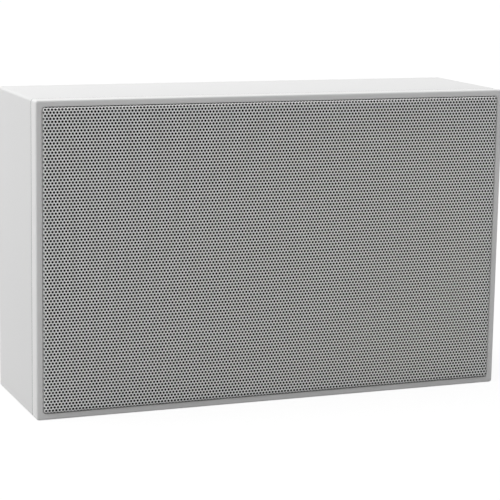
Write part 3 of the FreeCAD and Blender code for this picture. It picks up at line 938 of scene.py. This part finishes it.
def cross_head_screw(shell, centre, top, tip, head_radius, head_height, shank_radius):
    """A pan head with a cross recess on a pointed shank, along Y."""
    outward = 1 if top > tip else -1
    cross = cross_outline(recess_arm * head_radius, recess_half_width * head_radius)
    recess = []
    for share, depth in ((recess_floor, recess_depth * head_height), (1.0, 0.0)):
        y = top - outward * depth
        recess.append([(centre.x + share * x, y, centre.z + share * z) for x, z in cross])
    floor, rim = shell.skin(recess)
    shell.cap(floor)
    crown = crown_share * head_radius
    profile = []
    for inset, along in rounding(1.0, *from_face):
        drop = (1 - along) * crown_drop * head_height
        profile.append((head_radius - inset * (head_radius - crown), top - outward * drop))
    seat = top - outward * head_height
    point = tip + outward * 2 * shank_radius
    profile += [(head_radius, seat), (shank_radius, seat), (shank_radius, point), (0.0, tip)]
    first = shell.skin(turned(profile, centre, screw_sides))[0]
    cross_angles = [math.atan2(z, x) % math.tau for x, z in cross]
    shell.faces += ring_faces(round_angles(screw_sides), cross_angles, first[0], rim[0])


def screw_set(name, node, facing, head_height, shank_radius):
    """All the screws of a node. facing is 1 where their heads look back and -1 where they look forward."""
    shell = Shell()
    for low, high in islands(node):
        top, tip = (high.y, low.y) if facing > 0 else (low.y, high.y)
        head_radius = max(high.x - low.x, high.z - low.z) / 2
        cross_head_screw(shell, (low + high) / 2, top, tip, head_radius, head_height, shank_radius)
    return piece(name, shell, "black_screw", [node], crease=35.0)


def threaded_inserts():
    """Six-sided brass inserts whose bore has a cut thread and a chamfered mouth."""
    def thread(angle, y):
        return thread_depth * ripple(math.tau * y / thread_pitch - angle)

    shell = Shell()
    hexagon = [math.tau * i / insert_corners for i in range(insert_corners)]
    bore_angles = round_angles(insert_sides)
    mouth = insert_bore + thread_depth
    for low, high in islands("mounting_inserts"):
        centre, corner = (low + high) / 2, (high.x - low.x) / 2
        outside = []
        for y in (high.y, low.y):
            ring = [(corner * math.cos(a), corner * math.sin(a)) for a in hexagon]
            outside.append([(centre.x + x, y, centre.z + z) for x, z in ring])
        near, far = shell.skin(outside)
        steps = round((high.y - low.y - 2 * insert_chamfer) / thread_pitch * thread_steps)
        turns = np.linspace(high.y - insert_chamfer, low.y + insert_chamfer, steps + 1).tolist()
        bore = turned([(insert_bore, y) for y in turns], centre, insert_sides, thread)
        ends = turned([(mouth, high.y), (mouth, low.y)], centre, insert_sides)
        first, last = shell.skin([ends[0], *bore, ends[1]])
        shell.faces += ring_faces(hexagon, bore_angles, near[0], first[0])
        shell.faces += ring_faces(hexagon, bore_angles, far[0], last[0])
    return piece("threaded_inserts", shell, "insert_brass", ["mounting_inserts"], crease=50.0)


def terminal_dish():
    """The recessed cup: a softened flange and mouth, straight walls and a filleted floor."""
    low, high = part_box("terminal_cup")
    floor = low.y + cup_wall
    dish = cup_border - cup_wall
    sections = []
    for inset, along in rounding(cup_fillet, *from_face):
        sections.append((cup_border + inset, floor + cup_fillet - along, cup_corner - inset))
    for inset, along in rounding(cup_mouth, *from_wall):
        sections.append((cup_border - inset, high.y - cup_mouth + along, cup_corner + inset))
    for inset, along in rounding(cup_edge, *from_face):
        sections.append((inset, high.y - cup_edge + along, cup_corner - inset))
    sections += [
        (0.0, high.y - cup_flange, cup_corner),
        (dish, high.y - cup_flange, inner_corner),
        (dish, low.y, inner_corner),
    ]
    shell = Shell()
    for end in shell.skin(inset_loops("terminal_cup", sections)):
        shell.cap(end)
    return piece("terminal_dish", shell, "terminal_black", ["terminal_cup"])


def lined_socket(name, node, slot):
    """A socket with a fluted collar on its shank, lined with a plated tube."""
    centre, size = size_of(node)
    low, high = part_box(node)
    radius = size.x / 2
    base, floor = high.y - socket_collar, high.y - socket_depth
    lining = socket_bore + socket_tube
    rim = high.y - socket_rim_drop
    flute_low, flute_high = base + flute_start, high.y - flute_start

    def flutes(angle, y):
        depth = flute_depth if flute_low < y < flute_high else 0.0
        return -depth * ripple(flute_count * angle)

    tube = [
        (0.0, floor),
        (socket_bore, floor),
        (socket_bore, rim - socket_mouth_depth),
        (socket_bore + socket_mouth_width, rim),
        (lining, rim),
    ]
    collar = [(lining, high.y), (radius - collar_radius, high.y)]
    for inset, along in rounding(collar_radius, *collar_turn, collar_steps):
        collar.append((radius - inset, high.y - collar_radius + along))
    for y in (flute_high, high.y - flute_full, base + flute_full, flute_low, base):
        collar.append((radius, y))
    collar += [(socket_shank, base), (socket_shank, low.y), (0.0, low.y)]
    shell = Shell()
    sides = flute_sides * flute_count
    shell.skin(turned(tube + collar, centre, sides, flutes))
    plated = {"extra": "plated_tube", "extra_faces": range((len(tube) - 1) * sides)}
    return piece(name, shell, slot, [node], crease=35.0, **plated)


def eased_line(count):
    """Places from -1 to 1 that come closer together towards both ends."""
    return np.sin(np.linspace(-math.pi / 2, math.pi / 2, count))


def swell(along, across, turns, sway, sway_turns):
    """Waves along one direction that sway across it."""
    return np.sin(along * turns + sway * np.sin(across * sway_turns))


def fleece_block():
    """The wadding: flat on the back panel, crowned and drawn in at its free edges, with soft lumps."""
    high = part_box("damping_wadding")[1]
    middle, size = size_of("damping_wadding")
    u, v = np.meshgrid(eased_line(fleece_columns), eased_line(fleece_rows))
    x = middle.x + u * size.x / 2 * (1 - fleece_draw * (1 - v ** 2))
    z = middle.z + v * size.z / 2 * (1 - fleece_draw * (1 - u ** 2))
    crown = ((1 - np.abs(u) ** fleece_power) * (1 - np.abs(v) ** fleece_power)) ** fleece_bulge
    lumps = swell(u, v, *fleece_swell_x) * swell(v, u, *fleece_swell_z)
    height = size.y * (fleece_edge + fleece_crown * crown + fleece_lump * crown * lumps)
    front = np.stack([x, high.y - height, z], 2).reshape(-1, 3)
    back = np.stack([x, np.full_like(x, high.y), z], 2).reshape(-1, 3)
    shell = Shell()
    shell.loop(front.tolist() + back.tolist())
    shell.faces += sheet_faces(fleece_columns, fleece_rows)
    block = piece("fleece_block", shell, "wadding_fleece", ["damping_wadding"])
    return block


def turned_ring(name, node, slot, profile, body="cabinet"):
    """A driver part turned about its own axis from a closed profile."""
    shell = Shell()
    shell.skin(turned(profile, size_of(node)[0], ring_sides), closed=True)
    return piece(name, shell, slot, [node], body)


def flexing(ring, node):
    """A soft ring: every point is laid at its radius on X, the ring's placing is baked into its mesh, and the
    points are put back.
    """
    centre = size_of(node)[0]
    places = [vertex.co.copy() for vertex in ring.data.vertices]
    for vertex, place in zip(ring.data.vertices, places):
        vertex.co = (math.hypot(place.x - centre.x, place.z - centre.z), 0.0, 0.0)
    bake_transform(ring)
    for vertex, place in zip(ring.data.vertices, places):
        vertex.co = place
    return ring


def rolled_surround():
    """The rubber half roll between the basket's rim and the cone."""
    low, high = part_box("woofer_surround")
    outer = (high.x - low.x) / 2
    inner = size_of("woofer_cone")[1].x / 2
    roll_outer, roll_inner = outer - surround_lip, inner + surround_rubber
    crest, half = (roll_outer + roll_inner) / 2, (roll_outer - roll_inner) / 2
    rise = high.y - low.y - surround_rubber
    top = high.y - surround_rubber
    arc = [math.pi * step / surround_steps for step in range(surround_steps + 1)]
    face = [(crest + half * math.cos(a), top - rise * math.sin(a)) for a in arc]
    under = [(crest - (half - surround_rubber / 2) * math.cos(a), high.y - rise * math.sin(a)) for a in arc]
    profile = [(outer, high.y), (outer, top), *face, (inner, top), (inner, high.y), *under]
    ring = turned_ring("rolled_surround", "woofer_surround", "surround_rubber", profile, body=None)
    return flexing(ring, "woofer_surround")


def pressed_cone():
    """The paper cone, straight from its rim to the neck on the voice coil."""
    low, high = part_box("woofer_cone")
    rim = (high.x - low.x) / 2
    neck = size_of("woofer_voice_coil")[1].x / 2
    profile = [(rim, low.y), (rim, low.y + cone_paper), (neck, high.y), (neck, high.y - cone_paper)]
    return turned_ring("pressed_cone", "woofer_cone", "cone_paper", profile, "cone_assembly")


def pressed_dome(name, node, slot, thickness, body):
    """A thin domed skin, open on its hollow side."""
    low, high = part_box(node)
    radius, height = (high.x - low.x) / 2, high.y - low.y
    shares = [step / dome_steps for step in range(dome_steps + 1)]
    face = [(radius * s, low.y + height * s ** 2) for s in shares]
    hollow = [((radius - thickness) * s, low.y + thickness + (height - thickness) * s ** 2) for s in shares]
    shell = Shell()
    shell.skin(turned(face + hollow[::-1], size_of(node)[0], dome_sides))
    return piece(name, shell, slot, [node], body)


def waved_spider():
    """The corrugated cloth ring that centres the voice coil."""
    low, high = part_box("woofer_spider")
    outer = (high.x - low.x) / 2
    inner = size_of("woofer_voice_coil")[1].x / 2
    rise = high.y - low.y - spider_cloth
    face = []
    for share in np.linspace(0.0, 1.0, spider_steps + 1).tolist():
        wave = spider_wave_height * math.sin(math.tau * spider_waves * share) * math.sin(math.pi * share)
        face.append((outer + (inner - outer) * share, high.y - spider_cloth - share * rise + wave))
    profile = face + [(r, y + spider_cloth) for r, y in face[::-1]]
    ring = turned_ring("waved_spider", "woofer_spider", "spider_cloth", profile, body=None)
    return flexing(ring, "woofer_spider")


def cad_finishes():
    """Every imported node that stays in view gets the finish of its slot."""
    for row in frame["record"]["subparts"]:
        node = frame["nodes"][row["node"]]
        node.data.materials.clear()
        node.data.materials.append(finishes[row["material_slot"]])


def watched_rays(tree):
    """1 for a ray that shows the background: to the camera, off a gloss or through glass."""
    watched = tree.node("ShaderNodeLightPath", output="Is Camera Ray")
    for label in ("Is Glossy Ray", "Is Transmission Ray"):
        watched = watched.most(tree.node("ShaderNodeLightPath", output=label))
    return watched


def floor_finish():
    """Matt grey for the light, and where it is watched a white that keeps a faint shadow."""
    finish = Finish("floor_white", Base_Color=floor_grey, Roughness=0.9, Specular_IOR_Level=0.1)
    matt = Value(finish, finish.shader.outputs[0])
    glow = finish.node("ShaderNodeEmission", sockets={"Strength": floor_glow})
    share = watched_rays(finish) * floor_glow_share
    mixed = finish.node("ShaderNodeMixShader", sockets={0: share, 1: matt, 2: glow})
    finish.feed(finish.nodes["Material Output"].inputs["Surface"], mixed)
    return finish.material


def white_floor():
    """A wide floor just below the underside of the cabinet."""
    mesh = bpy.data.meshes.new("floor")
    corners = [(-1, -1), (1, -1), (1, 1), (-1, 1)]
    points = [(x * floor_reach, y * floor_reach, -floor_drop) for x, y in corners]
    mesh.from_pydata(points, [], [(0, 1, 2, 3)])
    mesh.materials.append(floor_finish())
    floor = bpy.data.objects.new("floor", mesh)
    bpy.context.scene.collection.objects.link(floor)


def white_world():
    """A soft fill for the object, and plain white where the camera or a gloss looks past the floor."""
    world = bpy.data.worlds.new("studio")
    world.use_nodes = True
    tree = Tree(world.node_tree)
    fill = tree.node("ShaderNodeBackground", sockets={"Color": white, "Strength": world_strength})
    seen = tree.node("ShaderNodeBackground", sockets={"Color": white, "Strength": 1.0})
    mixed = tree.node("ShaderNodeMixShader", sockets={0: watched_rays(tree), 1: fill, 2: seen})
    tree.feed(tree.nodes["World Output"].inputs["Surface"], mixed)
    bpy.context.scene.world = world


def lamp(name, kind, place, aim, power, **settings):
    """A lamp that shines from its place towards another point."""
    data = bpy.data.lights.new(name, kind)
    data.energy = power
    for key, value in settings.items():
        setattr(data, key, value)
    made = bpy.data.objects.new(name, data)
    made.location = place
    made.rotation_euler = (Vector(aim) - Vector(place)).to_track_quat("-Z", "Y").to_euler()
    bpy.context.scene.collection.objects.link(made)


def studio():
    """Floor, world, a wide sky panel and a soft lamp on the left."""
    white_floor()
    white_world()
    middle = (cad_box[0] + cad_box[1]) / 2
    lamp("sky_panel", "SUN", sky_from, (0.0, 0.0, 0.0), sky_power, angle=math.radians(sky_spread))
    lamp("left_softbox", "AREA", left_place, middle, left_power, size=left_size)


def photograph_camera():
    """The camera at the photograph's viewpoint."""
    data = bpy.data.cameras.new("camera")
    data.sensor_width = sensor_width
    data.lens = focal_pixels / image_pixels * sensor_width
    data.clip_end = camera_reach
    camera = bpy.data.objects.new("camera", data)
    bpy.context.scene.collection.objects.link(camera)
    level = Matrix.Rotation(math.radians(90), 4, "X")
    yaw = Matrix.Rotation(math.radians(-camera_yaw), 4, "Z")
    pitch = Matrix.Rotation(math.radians(-camera_pitch), 4, "X")
    roll = Matrix.Rotation(math.radians(camera_roll), 4, "Z")
    camera.matrix_world = Matrix.Translation(camera_place) @ yaw @ level @ pitch @ roll
    bpy.context.scene.camera = camera


cad_finishes()
cabinet_walls()
moulded_frame()
stretched_cloth(perforated_sheet())
screw_set("back_cross_screws", "back_screws", 1, **back_screw_sizes)
screw_set("cup_cross_screws", "terminal_screws", 1, **cup_screw_sizes)
screw_set("woofer_cross_screws", "woofer_screws", -1, **driver_screw_sizes)
screw_set("tweeter_cross_screws", "tweeter_screws", -1, **driver_screw_sizes)
threaded_inserts()
terminal_dish()
lined_socket("red_socket", "socket_positive", "socket_red")
lined_socket("black_socket", "socket_negative", "socket_black")
fleece_block()
rolled_surround()
pressed_cone()
pressed_dome("dust_dome", "woofer_dust_cap", "cone_paper", cap_paper, "cone_assembly")
waved_spider()
pressed_dome("silk_dome", "tweeter_diaphragm", "tweeter_silk", silk_thickness, "cabinet")
studio()
photograph_camera()
bpy.context.scene.view_settings.view_transform = "Standard"
